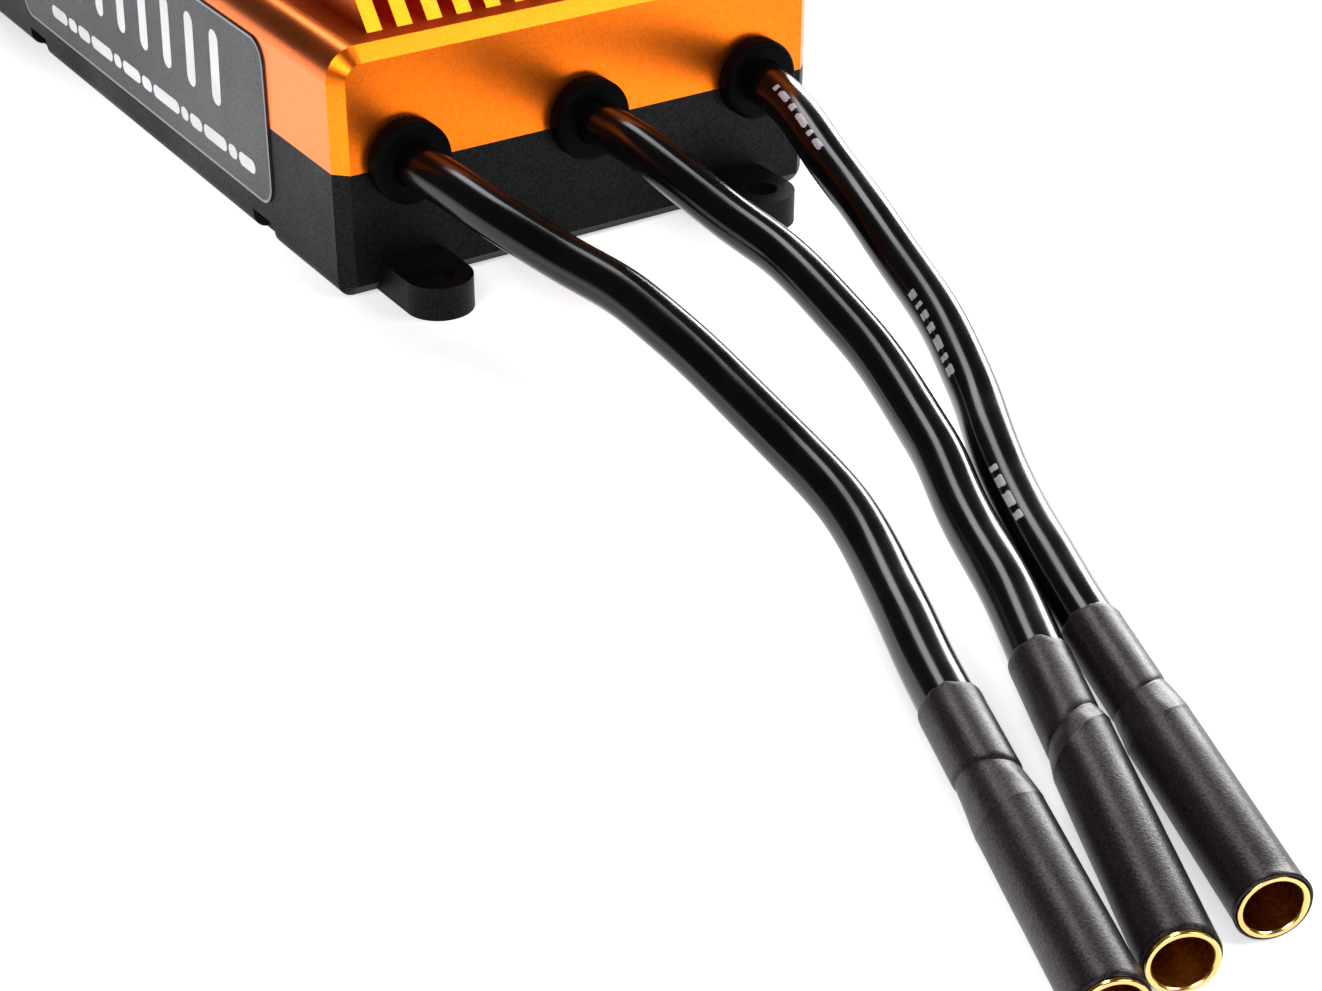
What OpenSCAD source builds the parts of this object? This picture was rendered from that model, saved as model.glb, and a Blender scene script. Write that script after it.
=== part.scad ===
// High-voltage electronic speed controller for a brushless motor.
// A finned aluminium cover closes a moulded lower case. Three motor leads leave the front
// through rubber grommets and end in sleeved bullet sockets. The power stage hangs under
// the cover, the control board stands on the floor and the capacitors fill the battery end.
//
// Frame: origin on the ground under the middle of the case, +Z up, +X to the right when
// looking at the motor end, +Y towards the battery end. The motor leads leave towards -Y.

/* [Case] */
// Width of the case, across X
case_w = 54.6; // [54:0.2:58]
// Length of the case along Y, without the mounting ears
case_l = 98; // [97:0.5:104]
// Height of the joint between the lower case and the cover
split_z = 13; // [12:0.5:13.5]
// Height of the cover's flat border, where the fins start
deck_z = 25.2; // [24.6:0.2:28]
// Overall height, at the tips of the fins
top_z = 34; // [29:0.5:38]
// Wall thickness of both shells
wall = 2; // [1.6:0.1:2.2]
// Chamfer round both ends of the case
end_chamfer = 1.35; // [0.9:0.05:1.4]
// Radius along the cover's two long top edges
edge_r = 3.2; // [2.4:0.1:4]
// Radius along the lower case's two long bottom edges
foot_r = 1.6; // [1.6:0.1:3]

/* [Fins] */
// Number of cooling fins
fin_count = 14; // [8:1:15]
// Distance from one fin to the next
fin_pitch = 3.2; // [2.4:0.1:3.2]
// Thickness of a fin
fin_t = 1.6; // [1:0.1:2]
// Width of the flat border in front of and behind the fins
fin_border = 3.6; // [2:0.2:6]
// Slope of the fins' ends, in degrees from the horizontal
fin_slope = 50; // [40:1:80]

/* [Mounting ears] */
// Centres of the left and the right ears, across X
ear_x = [-19.8, 17.8]; // [-22:0.2:22]
// Width of an ear, which ends in a half circle
ear_w = 6.8; // [6:0.2:9]
// Length of an ear beyond the end of the case
ear_reach = 8.6; // [7.6:0.2:11]
// Thickness of an ear
ear_t = 3.4; // [2.4:0.1:4]
// Diameter of the screw hole in an ear
ear_hole_d = 3.2; // [2.7:0.1:3.4]

/* [Motor leads] */
// Diameter of a motor lead over its silicone
lead_d = 4.5; // [4.1:0.1:4.5]
// Diameter of the copper strands in a motor lead
strand_d = 2.9; // [2:0.1:2.9]
// Distance from one motor lead to the next where they leave the case
lead_pitch = 20; // [19.5:0.5:20.5]

/* [Bullet sockets] */
// Outer diameter of a socket
socket_d = 5; // [4.8:0.05:5.4]
// Diameter of the plug that a socket takes, with its running room
socket_bore_d = 4.1; // [3.5:0.1:4.2]
// Length of a socket
socket_l = 20; // [18:0.5:22]
// Depth of a socket's bore
socket_depth = 15; // [12:0.5:16]
// Wall thickness of the shrink sleeve
sleeve_t = 0.2; // [0.15:0.05:0.35]
// Length of the sleeve's narrow end, which grips the lead
sleeve_neck_l = 10; // [8:0.5:12]

/* [Battery end] */
// Distance between the centres of the two battery lead grommets
battery_span = 24; // [22:0.5:26]
// Bore of a battery lead grommet
battery_bore_d = 5.6; // [5:0.1:6]
// Bore of the signal lead grommet
signal_bore_d = 3.8; // [3:0.1:4]

/* [Hidden] */
$fn = 48;
half_w = case_w / 2;
front_y = -case_l / 2;
back_y = case_l / 2;
fit_gap = 0.05;                     // radial room between a round part and its hole
cut = 1;                            // how far a cutting solid runs past a face

// Heights of the inner layers, from the floor up to the cover's ceiling
floor_z = 2;
control_z = 6;
board_t = 1.6;
control_top = control_z + board_t;
power_z = 15.8;
power_top = power_z + board_t;
chip_t = 1;
pad_t = 0.8;
ceiling_z = 21.2;
pad_z = power_top + chip_t;
spreader_z = pad_z + pad_t;

// Inner outlines, as [low x, low y, high x, high y]
power_area = [-24, -43, 24, 21];
control_area = [-18.5, -34, 18.5, 17];
bank_area = [-22, 22, 22, 44];
spreader_area = [-19.5, -40, 19.5, 8];
pad_area = [-19, -39.5, 19, 7.5];

// Case screws, which run up through posts in both shells
post_r = 2.6;
post_at = [[-22.5, -33], [22.5, -33], [-22.5, 43.8], [22.5, 43.8]];
case_screw_r = 1.2;
case_screw_tip = 19.5;
case_head_r = 2.2;
case_head_h = 1.6;
recess_h = 2;                       // depth of the screw head recess in the floor
spreader_screw_at = [[-11, -31.5], [11, -31.5], [-11, -3.5], [11, -3.5]];
spreader_screw_r = 1;
spreader_screw_tip = 23.2;
standoff_at = [[-15.5, -30.5], [15.5, -30.5], [-15.5, 13.5], [15.5, 13.5]];
standoff_r = 2.2;
board_screw_r = 0.95;

// Grommets: flange outside the wall, neck in the wall, lip inside
lead_z = 13.5;
lead_x = [-lead_pitch, 0, lead_pitch];
flange_t = 2;
lip_t = 1.4;
motor_flange_r = 4.15;
motor_neck_r = 3.5;
battery_flange_r = 5;
battery_neck_r = 4.3;
signal_flange_r = 3.6;
signal_neck_r = 2.9;

// Fixing slots at the foot of the long sides
notch_l = 5;
notch_h = 2.3;
notch_depth = 1.4;
notch_inset = 18;

// Side label
label_size = [68, 17.6];
label_z = 13;
label_r = 2.5;
label_t = 0.2;

// Power stage and capacitor bank
mosfet_x = [-15.5, -6.5, 6.5, 15.5];
mosfet_y = [for (row = [0:5]) -35 + 7 * row];
mosfet_size = [4.9, 5.9, chip_t];
tab_size = [6, 5, 0.85];
tab_y = -42.5;
capacitor_at = [for (x = [-16.2, -5.4, 5.4, 16.2], y = [27.6, 38.6]) [x, y]];
capacitor_r = 5;
capacitor_z = 3;
pin_r = 0.4;
pin_step = 1.75;                    // half the distance between a capacitor's two pins

// Routes of the motor leads, from the solder tabs to the backs of the bullet sockets
route_left = [
    [-20, -43, 13.5], [-20, -47, 13.5], [-20, -51.5, 13.5], [-19.5, -57.5, 13.5],
    [-19, -63, 13], [-17.5, -68.5, 12], [-16, -73.5, 11], [-14.5, -79, 10.5],
    [-14, -84, 9.5], [-13.5, -89.5, 8.5], [-13.5, -95, 7.5], [-13.5, -100.5, 6.5],
    [-13.5, -106, 5.5], [-14, -111.5, 5], [-15, -116.5, 4], [-17, -122, 3.5],
    [-19, -127, 3.5], [-21, -132, 3], [-23, -137.5, 3], [-27.5, -149.5, 3]];
route_middle = [
    [0, -43, 13.5], [0, -47, 13.5], [0, -51.5, 13.5], [0.5, -57, 13.5],
    [1, -62.5, 12.5], [1.5, -68, 11.5], [2, -73.5, 10.5], [2.5, -78.5, 10],
    [2, -84, 9.5], [1.5, -89.5, 8.5], [1, -95, 7.5], [0, -100, 6.5],
    [-1.5, -105.5, 5.5], [-3, -110.5, 5], [-5.2, -115.5, 4], [-7.2, -121, 3.5],
    [-9, -126, 3.5], [-11, -131, 3], [-14, -137, 3], [-19.5, -149, 3]];
route_right = [
    [20, -43, 13.5], [20, -47, 13.5], [20, -51.5, 13.5], [18.5, -58.5, 13.5],
    [17, -63.5, 13], [15.5, -69, 12], [14.5, -74.5, 11], [13, -79.5, 10.5],
    [11.5, -85, 9.5], [10.5, -90, 8.5], [9, -95.5, 7.5], [7, -100.5, 6.5],
    [5, -105.5, 5.5], [2.5, -110, 5], [0.3, -115, 4], [-1.9, -120.5, 3.5],
    [-3.9, -125.5, 3.5], [-5.8, -130.5, 3], [-7.8, -136, 3], [-12.1, -147.5, 3]];

// ---------------------------------------------------------------- helpers

// Extrudes an outline drawn in X and Z, from y0 over a length along +Y.
module along_y(y0, length) {
    translate([0, y0 + length, 0])
        rotate([90, 0, 0])
            linear_extrude(length)
                children();
}

// Extrudes an outline drawn in Y and Z, from x0 over a length along +X.
module along_x(x0, length) {
    translate([x0, 0, 0])
        rotate([90, 0, 90])
            linear_extrude(length)
                children();
}

// A box between two corners in plan, from z0 up over a height.
module slab(area, z0, height) {
    translate([area[0], area[1], z0])
        cube([area[2] - area[0], area[3] - area[1], height]);
}

// A block centred in plan at a point, standing on z0.
module block(at, size, z0) {
    translate([at[0] - size[0] / 2, at[1] - size[1] / 2, z0])
        cube(size);
}

// An upright cylinder at each point of a list.
module pegs(points, r, z0, z1) {
    for (p = points)
        translate([p[0], p[1], z0])
            cylinder(r = r, h = z1 - z0);
}

// A rectangle with rounded corners, centred on its middle.
module round_rect(size, r) {
    square([size[0] - 2 * r, size[1]], center = true);
    square([size[0], size[1] - 2 * r], center = true);
    for (sx = [-1, 1], sy = [-1, 1])
        translate([sx * (size[0] / 2 - r), sy * (size[1] / 2 - r)])
            circle(r);
}

// ---------------------------------------------------------------- case

// Section of the whole closed case: large radii at the top, small ones at the foot.
module case_section() {
    translate([-half_w, foot_r])
        square([case_w, deck_z - edge_r - foot_r]);
    translate([-half_w + foot_r, 0])
        square([case_w - 2 * foot_r, split_z]);
    translate([-half_w + edge_r, split_z])
        square([case_w - 2 * edge_r, deck_z - split_z]);
    for (side = [-1, 1]) {
        translate([side * (half_w - foot_r), foot_r])
            circle(foot_r);
        translate([side * (half_w - edge_r), deck_z - edge_r])
            circle(edge_r);
    }
}

// Cuts the chamfer round one corner of the section at the front end. The corner's centre
// is at [x, z], its radius is r, and out gives the signs of the way out of the corner.
module corner_cut(x, z, r, out) {
    past = 0.2;
    reach = r + cut;
    difference() {
        translate([out[0] > 0 ? x : x - reach, front_y - past, out[1] > 0 ? z : z - reach])
            cube([reach, end_chamfer + past, reach]);
        translate([x, front_y - past, z])
            rotate([-90, 0, 0])
                cylinder(r1 = r - end_chamfer - past, r2 = r, h = end_chamfer + past);
    }
}

// Cuts the whole chamfer round the front end: sides, top, foot and the four corners.
module end_cut() {
    run = end_chamfer + cut;
    for (side = [-1, 1]) {
        linear_extrude(deck_z + cut)
            polygon([[side * (half_w - run), front_y - cut],
                     [side * (half_w + cut), front_y - cut],
                     [side * (half_w + cut), front_y + run]]);
        corner_cut(side * (half_w - edge_r), deck_z - edge_r, edge_r, [side, 1]);
        corner_cut(side * (half_w - foot_r), foot_r, foot_r, [side, -1]);
    }
    along_x(-half_w - cut, case_w + 2 * cut) {
        polygon([[front_y - cut, deck_z - run], [front_y - cut, deck_z + cut],
                 [front_y + run, deck_z + cut]]);
        polygon([[front_y - cut, run], [front_y - cut, -cut], [front_y + run, -cut]]);
    }
}

// The outer form of the closed case, solid, with both ends chamfered.
module case_block() {
    difference() {
        along_y(front_y, case_l)
            case_section();
        end_cut();
        mirror([0, 1, 0])
            end_cut();
    }
}

// Holes in the end walls for every grommet, half in each shell.
module grommet_holes() {
    for (x = lead_x)
        end_hole(x, front_y, motor_neck_r);
    for (side = [-1, 1])
        end_hole(side * battery_span / 2, back_y, battery_neck_r);
    end_hole(0, back_y, signal_neck_r);
}

module end_hole(x, y, r) {
    translate([x, y, lead_z])
        rotate([90, 0, 0])
            cylinder(r = r + fit_gap, h = 2 * wall + cut, center = true);
}

module fin(x) {
    run = (top_z - deck_z) / tan(fin_slope);
    start = front_y + fin_border;
    root = 0.5;
    along_x(x - fin_t / 2, fin_t)
        polygon([[start, deck_z - root], [start, deck_z], [start + run, top_z],
                 [-start - run, top_z], [-start, deck_z], [-start, deck_z - root]]);
}

module heatsink_cover() {
    inner = [-half_w + wall, front_y + wall, half_w - wall, back_y - wall];
    color("darkorange")
        difference() {
            union() {
                difference() {
                    case_block();
                    slab([-half_w - cut, front_y - cut, half_w + cut, back_y + cut], -cut, split_z + cut);
                    slab(inner, 0, ceiling_z);
                }
                pegs(post_at, post_r, split_z, ceiling_z);
                for (i = [0:fin_count - 1])
                    fin((i - (fin_count - 1) / 2) * fin_pitch);
            }
            grommet_holes();
            pegs(post_at, case_screw_r + fit_gap, split_z - cut, case_screw_tip + cut);
            pegs(spreader_screw_at, spreader_screw_r + fit_gap, ceiling_z - cut, spreader_screw_tip + 0.5);
        }
}

// A mounting ear at the front, about the centre of its round end.
module ear() {
    cylinder(d = ear_w, h = ear_t);
    translate([-ear_w / 2, 0, 0])
        cube([ear_w, ear_reach - ear_w / 2 + wall, ear_t]);
}

// Places a part at the centre of each ear's round end, turned to face its own end.
module each_ear() {
    for (x = ear_x, my = [0, 1])
        mirror([0, my, 0])
            translate([x, front_y - ear_reach + ear_w / 2, 0])
                children();
}

module lower_case() {
    inner = [-half_w + wall, front_y + wall, half_w - wall, back_y - wall];
    color("dimgray")
        difference() {
            union() {
                difference() {
                    case_block();
                    slab([-half_w - cut, front_y - cut, half_w + cut, back_y + cut], split_z, deck_z);
                    slab(inner, floor_z, split_z);
                }
                pegs(post_at, post_r, floor_z, split_z);
                each_ear()
                    ear();
            }
            grommet_holes();
            pegs(post_at, case_screw_r + 4 * fit_gap, -cut, split_z + cut);
            pegs(post_at, case_head_r + 4 * fit_gap, -cut, recess_h);
            each_ear()
                translate([0, 0, -cut])
                    cylinder(d = ear_hole_d, h = ear_t + 2 * cut);
            for (mx = [0, 1], my = [-1, 1])
                mirror([mx, 0, 0])
                    translate([half_w - notch_depth, my * (back_y - notch_inset) - notch_l / 2, -cut])
                        cube([notch_depth + cut, notch_l, notch_h + cut]);
        }
}

module side_label() {
    color("slategray")
        along_x(-half_w - label_t, label_t)
            translate([0, label_z])
                round_rect(label_size, label_r);
}

module case_screws() {
    color("silver") {
        pegs(post_at, case_screw_r, recess_h, case_screw_tip);
        pegs(post_at, case_head_r, recess_h - case_head_h, recess_h);
    }
}

// ---------------------------------------------------------------- grommets

// A grommet in an end wall. Its flange stands outside the wall and its lip inside.
// Local +Y points out of the case and the wall's outer face is at 0.
module grommet(flange_r, neck_r, bore_r) {
    rim = 0.7;
    rotate([-90, 0, 0])
        rotate_extrude()
            difference() {
                union() {
                    translate([0, -wall - lip_t])
                        square([flange_r, lip_t]);
                    translate([0, -wall])
                        square([neck_r, wall]);
                    square([flange_r, flange_t - rim]);
                    square([flange_r - rim, flange_t]);
                    translate([flange_r - rim, flange_t - rim])
                        circle(rim);
                }
                translate([-cut, -wall - lip_t - cut])
                    square([bore_r + cut, 2 * cut + wall + lip_t + flange_t]);
            }
}

module motor_grommet(x) {
    color("black")
        translate([x, front_y, lead_z])
            mirror([0, 1, 0])
                grommet(motor_flange_r, motor_neck_r, lead_d / 2 + fit_gap);
}

module battery_grommet(x) {
    color("black")
        translate([x, back_y, lead_z])
            grommet(battery_flange_r, battery_neck_r, battery_bore_d / 2);
}

module signal_grommet() {
    color("black")
        translate([0, back_y, lead_z])
            grommet(signal_flange_r, signal_neck_r, signal_bore_d / 2);
}

// ---------------------------------------------------------------- motor leads

tube_sides = 12;

function unit(v) = v / norm(v);

// Direction of a route at its point i.
function heading(route, i) =
    unit(route[min(i + 1, len(route) - 1)] - route[max(i - 1, 0)]);

// A ring of points round point i of a route, square to the route.
function ring(route, i, r) =
    let (ahead = heading(route, i),
         side = unit(cross(ahead, [0, 0, 1])),
         up = cross(side, ahead))
    [for (k = [0:tube_sides - 1])
        let (a = 360 * k / tube_sides)
        route[i] + r * (cos(a) * side + sin(a) * up)];

module tube(route, r) {
    last = len(route) - 1;
    points = [for (i = [0:last]) each ring(route, i, r)];
    walls = [for (i = [0:last - 1], k = [0:tube_sides - 1])
        let (a = i * tube_sides + k,
             b = i * tube_sides + (k + 1) % tube_sides)
        [a, b, b + tube_sides, a + tube_sides]];
    near_cap = [for (k = [tube_sides - 1:-1:0]) k];
    far_cap = [for (k = [0:tube_sides - 1]) last * tube_sides + k];
    polyhedron(points, concat([near_cap], walls, [far_cap]));
}

module motor_lead(route) {
    color("black")
        tube(route, lead_d / 2);
}

// Places a part on a route's end: local +Z runs on along the lead, and 0 is its last point.
module at_end(route) {
    last = len(route) - 1;
    ahead = unit(route[last] - route[last - 1]);
    translate(route[last])
        rotate([0, 90, atan2(ahead[1], ahead[0])])
            children();
}

module bullet_socket(route) {
    r = socket_d / 2;
    bore = socket_bore_d / 2;
    lead_in = 0.25;
    color("gold")
        at_end(route)
            rotate_extrude()
                polygon([[0, 0], [r, 0], [r, socket_l - lead_in], [r - lead_in / 2, socket_l],
                         [bore + lead_in, socket_l], [bore, socket_l - lead_in],
                         [bore, socket_l - socket_depth], [0, socket_l - socket_depth]]);
}

module shrink_sleeve(route) {
    shoulder_l = 3.5;
    mouth = socket_l - 0.15;
    start = -shoulder_l - sleeve_neck_l;
    neck = lead_d / 2 + fit_gap;
    body = socket_d / 2 + fit_gap / 2;
    color("dimgray")
        at_end(route)
            rotate_extrude()
                polygon([[neck, start], [neck + sleeve_t, start], [neck + sleeve_t, -shoulder_l],
                         [body + sleeve_t, 0], [body + sleeve_t, mouth], [body, mouth],
                         [body, -fit_gap], [neck, -0.5]]);
}

// ---------------------------------------------------------------- power stage

// A circuit board with notches that clear the case posts.
module board(area, z) {
    difference() {
        slab(area, z, board_t);
        pegs(post_at, post_r + 0.5, z - cut, z + board_t + cut);
    }
}

module power_board() {
    color("darkgreen")
        difference() {
            board(power_area, power_z);
            pegs(spreader_screw_at, spreader_screw_r + 0.15, power_z - cut, power_top + cut);
        }
}

module power_mosfets() {
    color("black")
        for (x = mosfet_x, y = mosfet_y)
            block([x, y], mosfet_size, power_top);
}

module thermal_pad() {
    color("lightblue")
        difference() {
            slab(pad_area, pad_z, pad_t);
            pegs(spreader_screw_at, spreader_screw_r + 0.3, pad_z - cut, spreader_z + cut);
        }
}

module heat_spreader() {
    color("silver")
        difference() {
            slab(spreader_area, spreader_z, ceiling_z - spreader_z);
            pegs(spreader_screw_at, spreader_screw_r + 0.15, spreader_z - cut, ceiling_z + cut);
        }
}

module spreader_screws() {
    head_h = 1.4;
    color("silver") {
        pegs(spreader_screw_at, spreader_screw_r, power_z, spreader_screw_tip);
        pegs(spreader_screw_at, 1.9, power_z - head_h, power_z);
    }
}

module phase_tabs() {
    color("peru")
        for (x = lead_x)
            translate([x - tab_size[0] / 2, tab_y, power_z - tab_size[2]])
                cube(tab_size);
}

// Bared strands of each lead, soldered under its tab.
module lead_strands() {
    color("sienna")
        for (route = [route_left, route_middle, route_right])
            translate(route[0])
                rotate([-90, 0, 0])
                    cylinder(d = strand_d, h = tab_size[1] + 0.5);
}

module current_shunts() {
    color("darkslategray")
        for (x = [-3.8, 3.8])
            block([x, 12], [6.4, 3.2, 0.8], power_top);
}

module ceramic_capacitors() {
    color("tan")
        for (x = [-5:2.5:5])
            block([x, 17.5], [1.6, 3.2, 1.6], power_top);
}

module busbar(x) {
    color("peru")
        block([x, 26.5], [5, 33, 1.2], power_top);
}

// ---------------------------------------------------------------- capacitor bank

module pin_pegs(r, z0, z1) {
    for (c = capacitor_at, side = [-1, 1])
        translate([c[0], c[1] + side * pin_step, z0])
            cylinder(r = r, h = z1 - z0, $fn = 16);
}

module capacitor_board() {
    color("darkgreen")
        difference() {
            board(bank_area, power_z);
            pin_pegs(pin_r + 0.1, power_z - cut, power_top + cut);
        }
}

module bulk_capacitors() {
    groove_z = 2;
    groove = 0.35;
    color("midnightblue")
        for (c = capacitor_at)
            translate([c[0], c[1], capacitor_z])
                difference() {
                    cylinder(r = capacitor_r, h = power_z - capacitor_z);
                    translate([0, 0, power_z - capacitor_z - groove_z])
                        rotate_extrude()
                            translate([capacitor_r, 0])
                                circle(groove, $fn = 16);
                }
}

module capacitor_pins() {
    color("silver")
        pin_pegs(pin_r, power_z, power_top + 1);
}

// ---------------------------------------------------------------- control board

module control_board() {
    color("darkgreen")
        difference() {
            slab(control_area, control_z, board_t);
            pegs(standoff_at, board_screw_r + 0.15, control_z - cut, control_top + cut);
        }
}

module microcontroller() {
    color("black")
        block([0, -20], [9, 9, 1.2], control_top);
}

module gate_drivers() {
    color("black")
        for (x = [-9, 0, 9])
            block([x, -8], [5, 5, 1], control_top);
}

module supply_inductor() {
    color("gray")
        translate([8, 3, control_top])
            linear_extrude(5)
                round_rect([10, 10], 1.5);
}

module supply_converter() {
    color("black")
        block([-7, 3], [8, 8, 1.6], control_top);
}

module signal_connector() {
    color("ivory")
        difference() {
            block([0, 14], [9, 5.6, 5], control_top);
            block([0, 14], [7.4, 4, 5], control_top + 1);
        }
}

module status_lamp() {
    color("limegreen")
        block([-12, -22], [1.6, 0.8, 0.7], control_top);
}

module board_headers() {
    color("black")
        for (side = [-1, 1])
            block([side * 16.5, -9], [2.5, 22, power_z - control_top], control_top);
}

module board_standoffs() {
    color("goldenrod")
        difference() {
            pegs(standoff_at, standoff_r, floor_z, control_z);
            pegs(standoff_at, board_screw_r + fit_gap, floor_z - cut, control_z + cut);
        }
}

module board_screws() {
    tip_z = 3;
    head_h = 1.3;
    color("silver") {
        pegs(standoff_at, board_screw_r, tip_z, control_top);
        pegs(standoff_at, 1.8, control_top, control_top + head_h);
    }
}

// ---------------------------------------------------------------- the assembly

heatsink_cover();
lower_case();
side_label();
case_screws();
motor_grommet(lead_x[0]);  // motor_grommet_left
motor_grommet(lead_x[1]);  // motor_grommet_middle
motor_grommet(lead_x[2]);  // motor_grommet_right
motor_lead(route_left);  // motor_lead_left
motor_lead(route_middle);  // motor_lead_middle
motor_lead(route_right);  // motor_lead_right
shrink_sleeve(route_left);  // shrink_sleeve_left
shrink_sleeve(route_middle);  // shrink_sleeve_middle
shrink_sleeve(route_right);  // shrink_sleeve_right
bullet_socket(route_left);  // bullet_socket_left
bullet_socket(route_middle);  // bullet_socket_middle
bullet_socket(route_right);  // bullet_socket_right
battery_grommet(-battery_span / 2);  // battery_grommet_negative
battery_grommet(battery_span / 2);  // battery_grommet_positive
signal_grommet();
power_board();
power_mosfets();
thermal_pad();
heat_spreader();
spreader_screws();
phase_tabs();
lead_strands();
current_shunts();
ceramic_capacitors();
busbar(-10.8);  // busbar_negative
busbar(10.8);  // busbar_positive
capacitor_board();
bulk_capacitors();
capacitor_pins();
control_board();
microcontroller();
gate_drivers();
supply_inductor();
supply_converter();
signal_connector();
status_lamp();
board_headers();
board_standoffs();
board_screws();
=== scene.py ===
"""Looks of a brushless motor speed controller: finned orange cover, black lower case with
mounting ears, and three silicone motor leads that end in sleeved bullet sockets."""

import math

import bpy
from mathutils import Matrix, Vector, noise


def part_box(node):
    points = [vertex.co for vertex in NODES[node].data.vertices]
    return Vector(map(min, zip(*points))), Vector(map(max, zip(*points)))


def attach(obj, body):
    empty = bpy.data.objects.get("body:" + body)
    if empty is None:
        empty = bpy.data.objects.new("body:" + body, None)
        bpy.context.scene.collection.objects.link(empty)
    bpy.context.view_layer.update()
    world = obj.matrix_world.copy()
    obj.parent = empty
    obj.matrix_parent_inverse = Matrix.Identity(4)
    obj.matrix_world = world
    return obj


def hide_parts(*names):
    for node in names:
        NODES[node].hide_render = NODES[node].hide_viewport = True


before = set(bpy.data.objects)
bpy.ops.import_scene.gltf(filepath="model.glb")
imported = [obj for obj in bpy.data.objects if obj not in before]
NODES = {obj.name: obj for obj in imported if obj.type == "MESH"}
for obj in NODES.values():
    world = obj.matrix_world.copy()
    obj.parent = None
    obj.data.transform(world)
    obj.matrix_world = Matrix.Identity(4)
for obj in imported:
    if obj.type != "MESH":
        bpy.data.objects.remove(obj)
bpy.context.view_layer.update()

BODY = "root"
MM = 0.001

# Routes of the motor leads from the solder tabs to the backs of the bullet sockets, the
# same points as in the CAD model, in millimetres. LEAD_R is the leads' radius, in
# millimetres too.
ROUTES = {
    "left": [
        (-20, -43, 13.5), (-20, -47, 13.5), (-20, -51.5, 13.5), (-19.5, -57.5, 13.5),
        (-19, -63, 13), (-17.5, -68.5, 12), (-16, -73.5, 11), (-14.5, -79, 10.5),
        (-14, -84, 9.5), (-13.5, -89.5, 8.5), (-13.5, -95, 7.5), (-13.5, -100.5, 6.5),
        (-13.5, -106, 5.5), (-14, -111.5, 5), (-15, -116.5, 4), (-17, -122, 3.5),
        (-19, -127, 3.5), (-21, -132, 3), (-23, -137.5, 3), (-27.5, -149.5, 3)],
    "middle": [
        (0, -43, 13.5), (0, -47, 13.5), (0, -51.5, 13.5), (0.5, -57, 13.5),
        (1, -62.5, 12.5), (1.5, -68, 11.5), (2, -73.5, 10.5), (2.5, -78.5, 10),
        (2, -84, 9.5), (1.5, -89.5, 8.5), (1, -95, 7.5), (0, -100, 6.5),
        (-1.5, -105.5, 5.5), (-3, -110.5, 5), (-5.2, -115.5, 4), (-7.2, -121, 3.5),
        (-9, -126, 3.5), (-11, -131, 3), (-14, -137, 3), (-19.5, -149, 3)],
    "right": [
        (20, -43, 13.5), (20, -47, 13.5), (20, -51.5, 13.5), (18.5, -58.5, 13.5),
        (17, -63.5, 13), (15.5, -69, 12), (14.5, -74.5, 11), (13, -79.5, 10.5),
        (11.5, -85, 9.5), (10.5, -90, 8.5), (9, -95.5, 7.5), (7, -100.5, 6.5),
        (5, -105.5, 5.5), (2.5, -110, 5), (0.3, -115, 4), (-1.9, -120.5, 3.5),
        (-3.9, -125.5, 3.5), (-5.8, -130.5, 3), (-7.8, -136, 3), (-12.1, -147.5, 3)],
}
LEAD_R = 2.25


def metres(point):
    """A point in millimetres, as a vector in metres."""
    return Vector(point) * MM


# ------------------------------------------------------------------ camera

def make_camera():
    """A short telephoto view, down onto the motor end from its left."""
    data = bpy.data.cameras.new("camera")
    data.sensor_width = 36
    data.lens = 71.05
    data.clip_start = 0.01
    camera = bpy.data.objects.new("camera", data)
    bpy.context.scene.collection.objects.link(camera)
    bpy.context.scene.camera = camera
    place = Matrix.Translation((-0.1244, -0.2560, 0.1116))
    turn, down, roll = (math.radians(a) for a in (32.8, 30.4, 0.2))
    aim = Matrix.Rotation(-turn, 4, "Z") @ Matrix.Rotation(math.pi / 2 - down, 4, "X")
    camera.matrix_world = place @ aim @ Matrix.Rotation(roll, 4, "Z")


# ------------------------------------------------------------------ materials

def new_material(name):
    material = bpy.data.materials.new(name)
    material.use_nodes = True
    tree = material.node_tree
    return material, tree, tree.nodes["Principled BSDF"]


def noise_texture(tree, scale, stretch):
    """A noise texture in object space, in features per metre."""
    place = tree.nodes.new("ShaderNodeTexCoord")
    mapping = tree.nodes.new("ShaderNodeMapping")
    mapping.inputs["Scale"].default_value = stretch
    texture = tree.nodes.new("ShaderNodeTexNoise")
    texture.inputs["Scale"].default_value = scale
    texture.inputs["Detail"].default_value = 3.0
    tree.links.new(place.outputs["Object"], mapping.inputs["Vector"])
    tree.links.new(mapping.outputs["Vector"], texture.inputs["Vector"])
    return texture


def blend(tree, first, second, share):
    """The two textures' values, mixed; share is how much of the second goes in."""
    mix = tree.nodes.new("ShaderNodeMix")
    mix.inputs["Factor"].default_value = share
    tree.links.new(first.outputs["Fac"], mix.inputs["A"])
    tree.links.new(second.outputs["Fac"], mix.inputs["B"])
    return mix.outputs["Result"]


def vary_colour(tree, shader, value, low, high):
    """Base colour runs from low to high with the value."""
    ramp = tree.nodes.new("ShaderNodeValToRGB")
    for stop, position, colour in zip(ramp.color_ramp.elements, (0.35, 0.65), (low, high)):
        stop.position = position
        stop.color = (*colour, 1)
    tree.links.new(value, ramp.inputs["Fac"])
    tree.links.new(ramp.outputs["Color"], shader.inputs["Base Color"])


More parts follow.
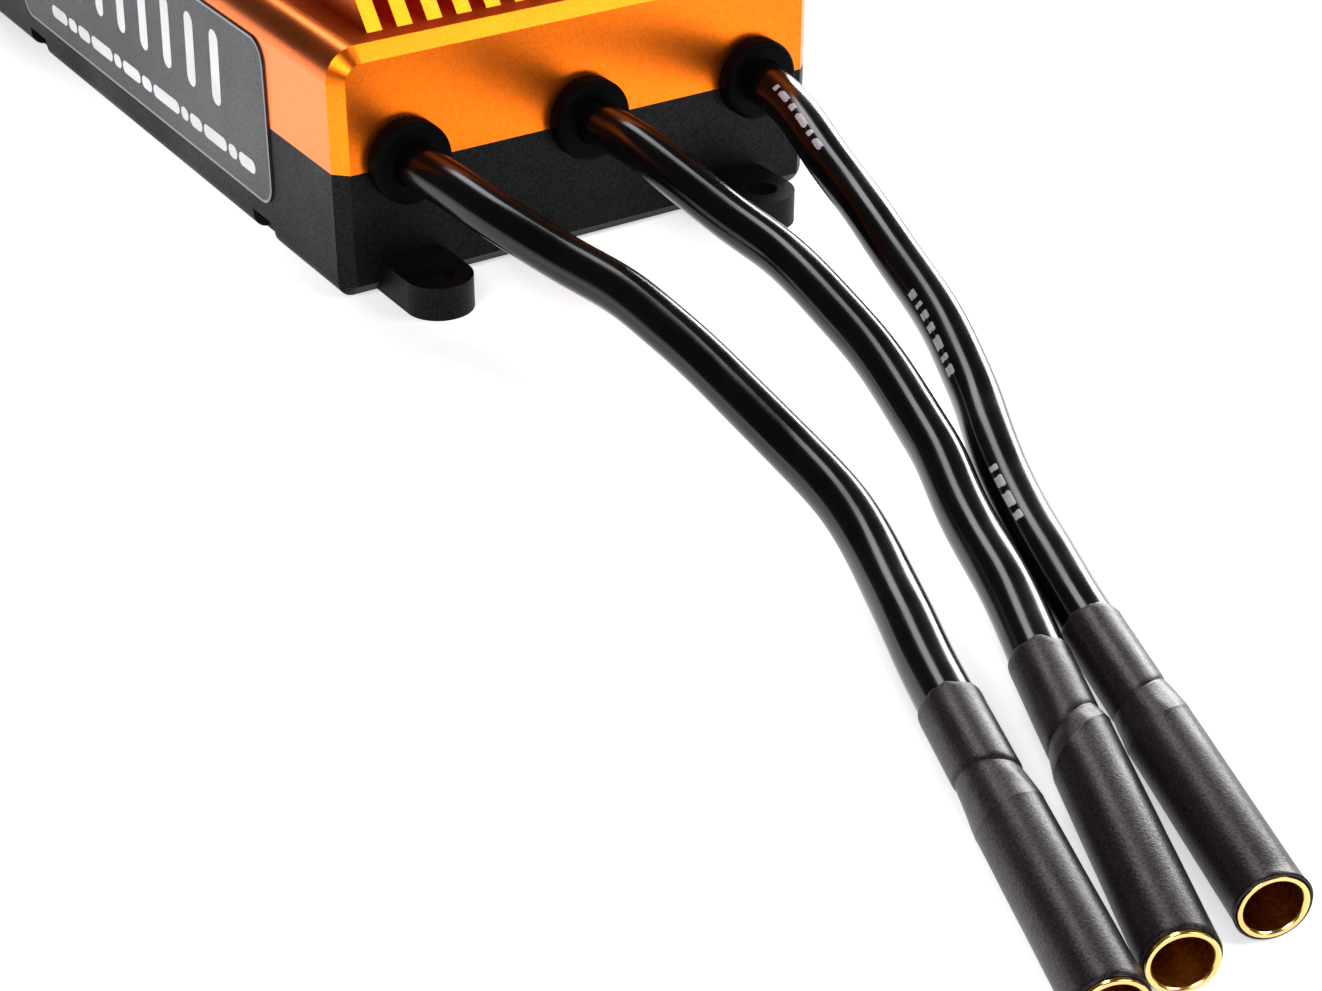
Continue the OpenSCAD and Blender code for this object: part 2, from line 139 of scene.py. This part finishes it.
def vary_socket(tree, shader, socket, value, low, high):
    """The shader's socket runs from low to high with the value."""
    spread = tree.nodes.new("ShaderNodeMapRange")
    spread.inputs["From Min"].default_value = 0.3
    spread.inputs["From Max"].default_value = 0.7
    spread.inputs["To Min"].default_value = low
    spread.inputs["To Max"].default_value = high
    tree.links.new(value, spread.inputs["Value"])
    tree.links.new(spread.outputs["Result"], shader.inputs[socket])


def add_bump(tree, shader, texture, height):
    bump = tree.nodes.new("ShaderNodeBump")
    bump.inputs["Strength"].default_value = 1.0
    bump.inputs["Distance"].default_value = height
    tree.links.new(texture.outputs["Fac"], bump.inputs["Height"])
    tree.links.new(bump.outputs["Normal"], shader.inputs["Normal"])


def surface(name, colour, rough, metallic=0.0, shade=0.12, grain=1500, height=0.01,
            patch=90, speckle=0.0, glint=0.0, stretch=(1, 1, 1), **sockets):
    """A procedural material. colour is the middle tone and shade how far it wanders either
    way over patches, with speckle of that from the grain; rough is (smooth, rough). patch
    and grain are the broad and the fine texture in features per metre, and height is the
    depth of the grain's relief in millimetres, 0 for none. glint is how far the grain takes
    the reflection up and down. sockets are further shader settings."""
    material, tree, shader = new_material(name)
    shader.inputs["Metallic"].default_value = metallic
    for socket, value in sockets.items():
        shader.inputs[socket.replace("_", " ")].default_value = value
    broad = noise_texture(tree, patch, stretch)
    fine = noise_texture(tree, grain, stretch)
    low = [c * (1 - shade) for c in colour]
    high = [min(1.0, c * (1 + shade)) for c in colour]
    vary_colour(tree, shader, blend(tree, broad, fine, speckle), low, high)
    vary_socket(tree, shader, "Roughness", broad.outputs["Fac"], *rough)
    if glint:
        level = shader.inputs["Specular IOR Level"].default_value
        vary_socket(tree, shader, "Specular IOR Level", fine.outputs["Fac"],
                    level * (1 - glint), level * (1 + glint))
    if height:
        add_bump(tree, shader, fine, height * MM)
    return material


def make_materials():
    return {
        "anodised": surface("orange_anodised", (0.95, 0.165, 0.002), (0.27, 0.33), 1.0,
                            shade=0.16, grain=4600, height=0, patch=70, speckle=0.8,
                            Coat_Weight=0.22, Coat_Roughness=0.35, Coat_IOR=1.4),
        "case": surface("black_case", (0.0028, 0.0028, 0.0034), (0.42, 0.52),
                        shade=0.3, grain=4600, height=0.016, speckle=0.8, glint=0.45,
                        Specular_IOR_Level=0.11),
        "label": surface("label_film", (0.022, 0.022, 0.028), (0.34, 0.42), shade=0.2,
                         grain=4600, height=0.004, speckle=0.8, glint=0.4,
                         Specular_IOR_Level=0.32),
        "label_rim": surface("label_rim", (0.24, 0.24, 0.26), (0.3, 0.4), shade=0.05),
        "ink": surface("white_ink", (0.78, 0.78, 0.80), (0.45, 0.6), shade=0.1,
                       grain=3000, height=0.004),
        "lead_ink": surface("lead_ink", (0.42, 0.40, 0.44), (0.3, 0.4), shade=0.3,
                            grain=4600, height=0.004, speckle=0.7),
        "grommet": surface("grommet_rubber", (0.0014, 0.0014, 0.0016), (0.45, 0.6),
                           shade=0.2, grain=2600, height=0.012, Specular_IOR_Level=0.03),
        "silicone": surface("lead_silicone", (0.0018, 0.0016, 0.0016), (0.14, 0.20),
                            shade=0.25, grain=700, height=0.006, patch=220,
                            Specular_IOR_Level=0.27),
        "shrink": surface("shrink_film", (0.0125, 0.0088, 0.0118), (0.33, 0.41),
                          shade=0.5, grain=4600, height=0.02, patch=160, speckle=0.8,
                          glint=0.4, Specular_IOR_Level=0.25,
                          Specular_Tint=(1.0, 0.87, 0.95, 1)),
        "gold": surface("gold_plate", (1.0, 0.66, 0.24), (0.14, 0.24), 1.0,
                        shade=0.06, grain=2400, height=0.003),
        # The bore's gold: rougher than the plate, and darker, which is painted shade inside the
        # hole.
        "bore": surface("gold_bore_painted_shade", (0.34, 0.15, 0.02), (0.26, 0.40), 1.0,
                        shade=0.5, grain=2600, height=0.02, speckle=0.6),
        "steel": surface("zinc_steel", (0.60, 0.60, 0.62), (0.24, 0.36), 1.0,
                         grain=2400, height=0.004),
        "board": surface("solder_mask", (0.010, 0.085, 0.035), (0.28, 0.4),
                         shade=0.3, patch=400, grain=1800, height=0.02),
        "chip": surface("chip_epoxy", (0.018, 0.018, 0.019), (0.5, 0.65), grain=4000),
        "pad": surface("thermal_pad", (0.36, 0.52, 0.62), (0.7, 0.85), grain=900,
                       height=0.04, Specular_IOR_Level=0.4),
        "aluminium": surface("milled_aluminium", (0.74, 0.74, 0.75), (0.28, 0.42), 1.0,
                             grain=900, height=0.01, stretch=(1, 12, 1)),
        "copper": surface("bare_copper", (0.86, 0.40, 0.22), (0.25, 0.4), 1.0,
                          shade=0.15, grain=900, stretch=(1, 6, 1)),
        "ceramic": surface("fired_ceramic", (0.50, 0.36, 0.22), (0.5, 0.7), grain=4000),
        "can": surface("can_sleeve", (0.012, 0.022, 0.10), (0.25, 0.35), grain=1200),
        "ferrite": surface("pressed_ferrite", (0.09, 0.09, 0.095), (0.6, 0.8),
                           grain=4500, height=0.03),
        "ivory": surface("connector_nylon", (0.72, 0.68, 0.58), (0.4, 0.5), grain=2000),
        "lamp": surface("lamp_epoxy", (0.35, 0.85, 0.42), (0.1, 0.2),
                        Transmission_Weight=0.5),
        "brass": surface("turned_brass", (0.85, 0.60, 0.25), (0.2, 0.3), 1.0),
    }


CAD_FINISH = {
    "case": ["lower_case"],
    "anodised": ["heatsink_cover"],
    "label": ["side_label"],
    "steel": ["case_screws", "spreader_screws", "capacitor_pins", "board_screws"],
    "grommet": ["motor_grommet_left", "motor_grommet_middle", "motor_grommet_right",
                "battery_grommet_negative", "battery_grommet_positive", "signal_grommet"],
    "board": ["power_board", "capacitor_board", "control_board"],
    "chip": ["power_mosfets", "current_shunts", "microcontroller", "gate_drivers",
             "supply_converter", "board_headers"],
    "pad": ["thermal_pad"],
    "aluminium": ["heat_spreader"],
    "copper": ["phase_tabs", "lead_strands", "busbar_negative", "busbar_positive"],
    "ceramic": ["ceramic_capacitors"],
    "can": ["bulk_capacitors"],
    "ferrite": ["supply_inductor"],
    "ivory": ["signal_connector"],
    "lamp": ["status_lamp"],
    "brass": ["board_standoffs"],
}


def finish_cad_nodes(materials):
    for key, names in CAD_FINISH.items():
        for name in names:
            slots = NODES[name].data.materials
            slots.clear()
            slots.append(materials[key])


# ------------------------------------------------------------------ pieces

def add_piece(name, data, material, smooth=True):
    """Links a new mesh or curve object, gives it its finish and lets it ride on the body."""
    piece = bpy.data.objects.new(name, data)
    bpy.context.scene.collection.objects.link(piece)
    data.materials.append(material)
    if smooth and isinstance(data, bpy.types.Mesh):
        data.shade_smooth()
    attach(piece, BODY)
    return piece


def mesh_from(name, points, faces):
    data = bpy.data.meshes.new(name)
    data.from_pydata([tuple(p) for p in points], [], faces)
    data.validate()
    data.update()
    return data


def fractions(count):
    """Equal steps from 1/count to 1."""
    return [k / count for k in range(1, count + 1)]


def end_frame(side):
    """Where a route ends: its last point, and unit vectors ahead, sideways and up."""
    last = metres(ROUTES[side][-1])
    ahead = (last - metres(ROUTES[side][-2])).normalized()
    across = ahead.cross(Vector((0, 0, 1))).normalized()
    return last, ahead, across, across.cross(ahead)


def turned(side, outline, steps):
    """The points and faces of a closed ring turned about the end of a lead. outline(a) gives
    the closed section at angle a as (distance ahead, radius) pairs in millimetres."""
    origin, ahead, across, up = end_frame(side)
    points = []
    for i in range(steps):
        a = 2 * math.pi * i / steps
        out = across * math.cos(a) + up * math.sin(a)
        points += [origin + (ahead * z + out * r) * MM for z, r in outline(a)]
    count = len(points) // steps
    faces = [(i * count + k,
              ((i + 1) % steps) * count + k,
              ((i + 1) % steps) * count + (k + 1) % count,
              i * count + (k + 1) % count)
             for i in range(steps) for k in range(count)]
    return points, faces


def make_lead(side, material):
    """A free lead along its route."""
    data = bpy.data.curves.new("motor_lead_" + side, "CURVE")
    data.dimensions = "3D"
    data.bevel_depth = LEAD_R * MM
    data.bevel_resolution = 10
    data.resolution_u = 6
    data.use_fill_caps = True
    line = data.splines.new("NURBS")
    route = ROUTES[side]
    line.points.add(len(route) - 1)
    for point, place in zip(line.points, route):
        point.co = (*metres(place), 1)
    line.order_u = 4
    line.use_endpoint_u = True
    lead = add_piece("silicone_lead_" + side, data, material)
    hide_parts("motor_lead_" + side)


# A bullet socket, in millimetres. outer and bore are radii and depth is the bore's. cup is
# the length and the radius of its solder cup, at the back, edge the round on its mouth and
# lead_in the countersink of its bore.
SOCKET = dict(length=20.0, depth=15.0, outer=2.5, bore=2.05, cup=(2.0, 2.15), edge=0.08,
              lead_in=0.12)


def make_socket(side, plate, shaded_bore):
    """A turned bullet socket: solder cup, tube, and a mouth with a broken edge outside, a
    narrow flat ring and a countersunk lead-in. The bore is rougher than the rest, and
    its darker colour is painted shade."""
    length, outer, bore = SOCKET["length"], SOCKET["outer"], SOCKET["bore"]
    cup_l, cup_r = SOCKET["cup"]
    edge, lead_in = SOCKET["edge"], SOCKET["lead_in"]
    bottom = length - SOCKET["depth"]
    hub = 0.05
    back = [(0.0, hub), (0.0, cup_r - 0.2), (0.2, cup_r), (cup_l, cup_r),
            (cup_l + 0.1, outer - 0.1), (cup_l + 0.2, outer)]
    round_edge = [(length - edge + edge * math.sin(t), outer - edge + edge * math.cos(t))
                  for t in (math.pi / 2 * k / 5 for k in range(6))]
    mouth = [(length, bore + lead_in + 0.03), (length - 0.03, bore + lead_in)]
    inside = [(length - lead_in - 0.02, bore + 0.02), (length - lead_in - 0.08, bore),
              (bottom + 0.6, bore), (bottom, hub)]
    section = back + round_edge + mouth + inside
    points, faces = turned(side, lambda a: section, steps=96)
    data = mesh_from("gold_socket_" + side, points, faces)
    socket = add_piece("gold_socket_" + side, data, plate)
    data.materials.append(shaded_bore)
    bore_start = len(section) - len(inside)
    for face in data.polygons:
        if face.index % len(section) in range(bore_start, len(section) - 1):
            face.material_index = 1
    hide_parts("bullet_socket_" + side)
    return socket


# Shrink sleeves. start is where the narrow end is cut. crease and ridge are the rings where
# the sleeve drops off the solder cup and where it reaches its full width: each has its
# middle place, its lean to the left and its lean upwards. mouth is the wide end, neck the
# radius of the narrow part and lip how far the mouth's top edge stands out. seed makes each
# sleeve's creases its own. Places are in millimetres ahead of the socket's back.
SLEEVES = {
    "left": dict(start=-13.0, crease=(-4.3, -0.3, 0.7), ridge=(0.05, 0.95, 0.95),
                 mouth=19.62, neck=2.50, lip=0.0, seed=1.0),
    "middle": dict(start=-14.2, crease=(-4.9, 1.6, -0.1), ridge=(-3.0, 2.3, 0.2),
                   mouth=19.6, neck=2.42, lip=0.0, seed=5.0),
    "right": dict(start=-13.6, crease=(-3.8, 1.2, 1.0), ridge=(-0.2, 1.3, 1.2),
                  mouth=19.85, neck=2.42, lip=0.14, seed=9.0),
}
# Radii at the bottom of the crease, where the cone starts, over the socket, at the ridge
# and inside the wide part.
CREASE_R = 2.33
CONE_R = 2.41
BODY_R = 2.72
RIDGE_R = BODY_R + 0.022
INSIDE_R = BODY_R - 0.19
# Lengths along the sleeve: the drop into the crease, the short rise out of it, the shoulder
# behind the ridge, and the place where the plain part gives way to the mouth.
DROP = 0.9
RISE = 0.35
SHOULDER = 0.5
PLAIN_END = 18.6


def make_sleeve(side, material):
    """A shrink sleeve: snug on the lead, drawn into a crease behind the solder cup, crumpled
    on the cone from there to the socket, and smooth over the socket."""
    sleeve = SLEEVES[side]
    seed = sleeve["seed"]
    neck = sleeve["neck"]

    def ring_place(key, a):
        """How far ahead the crease or the ridge lies at angle a."""
        middle, left, top = sleeve[key]
        return middle + left * math.cos(a) + top * math.sin(a)

    def crumple(a, z, step):
        """An uneven lift from -1 to 1, with bumps about step long."""
        turn = Vector((math.cos(a), math.sin(a), 0)) * 2.6
        return noise.noise(turn + Vector((seed, seed, z / step)))

    def outline(a):
        """The sleeve's section at angle a: outside from the cut end to the mouth, then back."""
        crease = ring_place("crease", a)
        ridge = ring_place("ridge", a)
        start = sleeve["start"] + 0.35 * crumple(a, 0, 1)
        snug = start + 0.1
        line = [(start, neck - 0.12), (start + 0.02, neck - 0.02)]
        line += [(snug + (crease - DROP - snug) * t, neck) for t in [0] + fractions(14)]
        line += [(crease - DROP + DROP * t, neck + (CREASE_R - neck) * t ** 3)
                 for t in fractions(9)]
        line += [(crease + RISE * t, CREASE_R + (CONE_R - CREASE_R) * (1 - (1 - t) ** 2))
                 for t in fractions(5)]
        cone = ridge - crease - RISE
        line += [(crease + RISE + cone * t, CONE_R + (BODY_R + 0.015 - CONE_R) * t ** 0.9)
                 for t in fractions(12)]
        plain = ridge + SHOULDER
        line += [(ridge + 0.06, RIDGE_R), (ridge + 0.16, BODY_R + 0.012), (plain, BODY_R)]
        line += [(plain + (PLAIN_END - plain) * t, BODY_R) for t in fractions(18)]
        mouth = sleeve["mouth"] + 1.5 * sleeve["lip"] * max(0, math.sin(a))
        flare = sleeve["lip"] * (0.4 + 0.6 * max(0, math.sin(a)))
        line += [(mouth - 0.5, BODY_R + 0.3 * flare), (mouth - 0.12, BODY_R + flare),
                 (mouth - 0.03, BODY_R - 0.03 + flare), (mouth, BODY_R - 0.09 + flare)]
        outer = []
        for z, r in line:
            folds = math.exp(-((z - (crease + ridge) / 2) / 2.2) ** 2)
            lift = math.exp(-((z - start) / 0.8) ** 2)
            r += 0.055 * folds * crumple(a, z, 1.6) + 0.012 * crumple(a, z, 3.0)
            r += 0.05 * lift * (0.4 + crumple(a, z + 7, 2.0))
            outer.append((z, r))
        inner = [(mouth - 0.02, INSIDE_R + 0.9 * flare), (mouth - 0.6, INSIDE_R),
                 (ridge + 0.3, INSIDE_R), (ridge - 0.5, LEAD_R + 0.03),
                 (start + 0.05, LEAD_R + 0.02)]
        return outer + inner

    points, faces = turned(side, outline, steps=144)
    piece = add_piece("shrink_" + side, mesh_from("shrink_" + side, points, faces),
                      material)
    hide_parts("shrink_sleeve_" + side)
    return piece


def centre_line(route, steps):
    """The smooth line that a route stands for, a clamped cubic B-spline, in metres."""
    points = [metres(p) for p in route]
    spans = len(points) - 3
    knots = [0] * 3 + list(range(spans + 1)) + [spans] * 3
    line = []
    for step in range(steps + 1):
        u = spans * step / steps
        first = min(int(u), spans - 1)
        near = points[first:first + 4]
        for level in (1, 2, 3):
            for j in range(3, level - 1, -1):
                low = knots[first + j]
                high = knots[first + j + 4 - level]
                near[j] = near[j - 1].lerp(near[j], (u - low) / (high - low))
        line.append(near[3])
    return line


# Plain dashes printed along a lead, in rows. start is how far from the lead's first point a
# row begins, turn the side it faces (0 left, 90 up) in degrees, and lengths and width are
# in millimetres. So are the gap between dashes, how far their faces stand out and how deep
# their edges are sunk.
LEAD_PRINT = {
    "right": [
        dict(start=13.5, turn=54, width=0.85, lengths=(0.8, 2.2, 1.2, 2.6, 0.8, 1.8)),
        dict(start=50.0, turn=34, width=0.9, lengths=(1.2, 0.6, 1.2, 1.2, 2.0, 0.8, 1.4)),
        dict(start=76.0, turn=50, width=0.85, lengths=(0.8, 1.6, 2.2, 1.2))],
}
DASH_GAP = 0.7
DASH_LIFT = 0.012
DASH_SUNK = 0.02
DASH_ROWS, DASH_COLUMNS = 6, 5


def make_lead_print(side, material):
    """Thin dashes that follow the lead's surface, with their edges sunk into it."""
    line = centre_line(ROUTES[side], 1200)
    along = [0.0]
    for before, after in zip(line, line[1:]):
        along.append(along[-1] + (after - before).length / MM)

    def surface_point(place, turn, height):
        """A point over the lead's surface: how far along it, at which angle and how high."""
        i = min(max(1, next(k for k, d in enumerate(along) if d >= place)), len(line) - 2)
        ahead = (line[i + 1] - line[i - 1]).normalized()
        across = ahead.cross(Vector((0, 0, 1))).normalized()
        out = across * math.cos(turn) + across.cross(ahead) * math.sin(turn)
        return line[i] + out * (LEAD_R + height) * MM

    points, faces = [], []

    def add_dash(place, turn, length, width):
        """A grid over the lead's surface, from place on and turn degrees round it."""
        first = len(points)
        for i in range(DASH_ROWS + 1):
            for j in range(DASH_COLUMNS + 1):
                angle = math.radians(turn) + width * (j / DASH_COLUMNS - 0.5) / LEAD_R
                rim = i in (0, DASH_ROWS) or j in (0, DASH_COLUMNS)
                height = -DASH_SUNK if rim else DASH_LIFT
                points.append(surface_point(place + length * i / DASH_ROWS, angle, height))
        for i in range(DASH_ROWS):
            for j in range(DASH_COLUMNS):
                corner = first + i * (DASH_COLUMNS + 1) + j
                ahead = corner + DASH_COLUMNS + 1
                faces.append((corner, corner + 1, ahead + 1, ahead))

    for row in LEAD_PRINT[side]:
        place = row["start"]
        for length in row["lengths"]:
            add_dash(place, row["turn"], length, row["width"])
            place += length + DASH_GAP
    name = "lead_print_" + side
    add_piece(name, mesh_from(name, points, faces), material)


# The label's box and the radius of its corners, and the print on its face, in millimetres
# along the case and up. The print is a film: its foot is inside the label, and its top is a
# little smaller all round.
LABEL_LOW, LABEL_HIGH = (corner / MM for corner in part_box("side_label"))
LABEL_CORNER = 2.5
FILM = 0.02
FILM_SLOPE = 0.04
BARS = dict(first=-22.0, pitch=6.2, count=8, low=12.3, high=18.5, lean=0.4, width=2.1)
DASHES = dict(first=-29.6, z=7.3, width=1.5, gap=0.9,
              lengths=(3.4, 1.6, 5.2, 2.6, 1.4, 6.4, 2.2, 4.4, 1.6, 5.6, 3.0, 2.0, 4.2))


def capsule(start, end, width):
    """The outline of a stroke with round ends, from start to end."""
    steps = 8
    a, b = Vector(start), Vector(end)
    ahead = math.atan2(b.y - a.y, b.x - a.x)
    outline = []
    for centre, turn in ((b, ahead - math.pi / 2), (a, ahead + math.pi / 2)):
        for k in range(steps + 1):
            t = turn + math.pi * k / steps
            outline.append(centre + Vector((math.cos(t), math.sin(t))) * width / 2)
    return outline


def add_stroke(points, faces, outline):
    """Adds a film in the shape of the outline to the points and faces."""
    first = len(points)
    count = len(outline)
    middle = sum(outline, Vector((0, 0))) / count
    for x, shrink in ((LABEL_LOW.x + FILM, 0.0), (LABEL_LOW.x - FILM, FILM_SLOPE)):
        for place in outline:
            y, z = place + (middle - place).normalized() * shrink
            points.append(Vector((x, y, z)) * MM)
    faces.append([first + count + k for k in range(count)])
    for k in range(count):
        after = (k + 1) % count
        faces.append((first + k, first + after, first + count + after, first + count + k))


def make_label_print(material):
    """A row of leaning bars over a row of dashes."""
    points, faces = [], []
    for k in range(BARS["count"]):
        y = BARS["first"] + BARS["pitch"] * k
        stroke = capsule((y, BARS["low"]), (y - BARS["lean"], BARS["high"]), BARS["width"])
        add_stroke(points, faces, stroke)
    y = DASHES["first"]
    for length in DASHES["lengths"]:
        stroke = capsule((y, DASHES["z"]), (y + length - 1, DASHES["z"]), DASHES["width"])
        add_stroke(points, faces, stroke)
        y += length + DASHES["gap"]
    add_piece("label_print", mesh_from("label_print", points, faces), material,
              smooth=False)


def make_label_rim(material):
    """The label's clear edge, a narrow raised line round it. Its section holds the distance
    out from the face and the distance in from the edge."""
    ring = []
    for corner, (across, up) in enumerate(((1, 1), (-1, 1), (-1, -1), (1, -1))):
        y = (LABEL_HIGH if across > 0 else LABEL_LOW).y - across * LABEL_CORNER
        z = (LABEL_HIGH if up > 0 else LABEL_LOW).z - up * LABEL_CORNER
        centre = Vector((y, z))
        for k in range(9):
            t = math.pi / 2 * (corner + k / 8)
            ring.append((centre, Vector((math.cos(t), math.sin(t)))))
    section = ((0.02, 0.02), (0.035, 0.08), (0.035, 0.24), (-0.01, 0.32))
    points = []
    for centre, out in ring:
        for lift, inset in section:
            y, z = centre + out * (LABEL_CORNER - inset)
            points.append(Vector((LABEL_LOW.x - lift, y, z)) * MM)
    count = len(section)
    faces = [(i * count + k, (i + 1) % len(ring) * count + k,
              (i + 1) % len(ring) * count + k + 1, i * count + k + 1)
             for i in range(len(ring)) for k in range(count - 1)]
    add_piece("label_rim", mesh_from("label_rim", points, faces), material)


# ------------------------------------------------------------------ stage

def add_area_light(name, direction, distance, size, radiance):
    """A rectangular softbox that faces the motor leads from the given direction."""
    centre = Vector((0, -0.08, 0.015))
    data = bpy.data.lights.new(name, "AREA")
    data.shape = "RECTANGLE"
    data.size, data.size_y = size
    data.energy = radiance * math.pi * size[0] * size[1]
    lamp = bpy.data.objects.new(name, data)
    bpy.context.scene.collection.objects.link(lamp)
    outward = Vector(direction).normalized()
    lamp.location = centre + outward * distance
    lamp.rotation_mode = "QUATERNION"
    lamp.rotation_quaternion = (-outward).to_track_quat("-Z", "Y")


# Painted pools of light on the table, glow added to its emission where no lamp shines more:
# middle across and along, reach, all in millimetres, and how much glow they add.
PAINTED_LIGHT_POOLS = [(-62, -71, 30, 2.0), (22, -97, 56, 1.2), (-64, -10, 66, 0.8), (-78, -150, 66, 0.6)]


def painted_pool_light(tree, base):
    """The table's own glow: an even base, and painted pools of light on top of it."""
    place = tree.nodes.new("ShaderNodeTexCoord")
    total = None
    for x, y, reach, extra in PAINTED_LIGHT_POOLS:
        far = tree.nodes.new("ShaderNodeVectorMath")
        far.operation = "DISTANCE"
        far.inputs[1].default_value = metres((x, y, 0))
        tree.links.new(place.outputs["Object"], far.inputs[0])
        fade = tree.nodes.new("ShaderNodeMapRange")
        fade.interpolation_type = "SMOOTHSTEP"
        fade.inputs["From Max"].default_value = reach * MM
        fade.inputs["To Min"].default_value = extra
        fade.inputs["To Max"].default_value = 0.0
        tree.links.new(far.outputs["Value"], fade.inputs["Value"])
        add = tree.nodes.new("ShaderNodeMath")
        add.inputs[1].default_value = base
        if total:
            tree.links.new(total, add.inputs[1])
        tree.links.new(fade.outputs["Result"], add.inputs[0])
        total = add.outputs["Value"]
    return total


def make_floor():
    """A pale table just under the object."""
    half = 1.0
    corners = [(-half, -half, 0), (half, -half, 0), (half, half, 0), (-half, half, 0)]
    data = mesh_from("floor", corners, [(0, 1, 2, 3)])
    floor = bpy.data.objects.new("floor", data)
    floor.location.z = -0.02 * MM
    bpy.context.scene.collection.objects.link(floor)
    material, tree, shader = new_material("white_floor")
    shader.inputs["Base Color"].default_value = (0.88, 0.88, 0.89, 1)
    shader.inputs["Roughness"].default_value = 0.8
    shader.inputs["Specular IOR Level"].default_value = 0.0
    shader.inputs["Emission Color"].default_value = (1, 1, 1, 1)
    # Emission: an even glow, with the painted pools of light added on top.
    tree.links.new(painted_pool_light(tree, 0.52), shader.inputs["Emission Strength"])
    data.materials.append(material)


def make_stage():
    """The table, a dim studio round it, and four softboxes."""
    make_floor()
    world = bpy.data.worlds.new("studio")
    world.use_nodes = True
    background = world.node_tree.nodes["Background"]
    background.inputs["Color"].default_value = (0.95, 0.97, 1.0, 1)
    background.inputs["Strength"].default_value = 0.08
    bpy.context.scene.world = world
    add_area_light("back_softbox", (0.12, 0.69, 0.71), 1.0, (0.26, 0.52), 8)
    add_area_light("right_panel", (0.78, 0.58, 0.17), 0.9, (0.55, 0.26), 17)
    add_area_light("front_right_softbox", (0.46, -0.50, 0.74), 1.0, (0.6, 0.5), 6)
    add_area_light("front_left_softbox", (-0.66, -0.41, 0.63), 1.0, (0.45, 0.45), 7)
    bpy.context.scene.view_settings.view_transform = "Standard"


# ------------------------------------------------------------------ assembly

make_camera()
MATERIALS = make_materials()
for side in ROUTES:
    socket = make_socket(side, MATERIALS["gold"], MATERIALS["bore"])
    sleeve = make_sleeve(side, MATERIALS["shrink"])
    make_lead(side, MATERIALS["silicone"])
make_lead_print("right", MATERIALS["lead_ink"])
make_label_print(MATERIALS["ink"])
make_label_rim(MATERIALS["label_rim"])
finish_cad_nodes(MATERIALS)
make_stage()
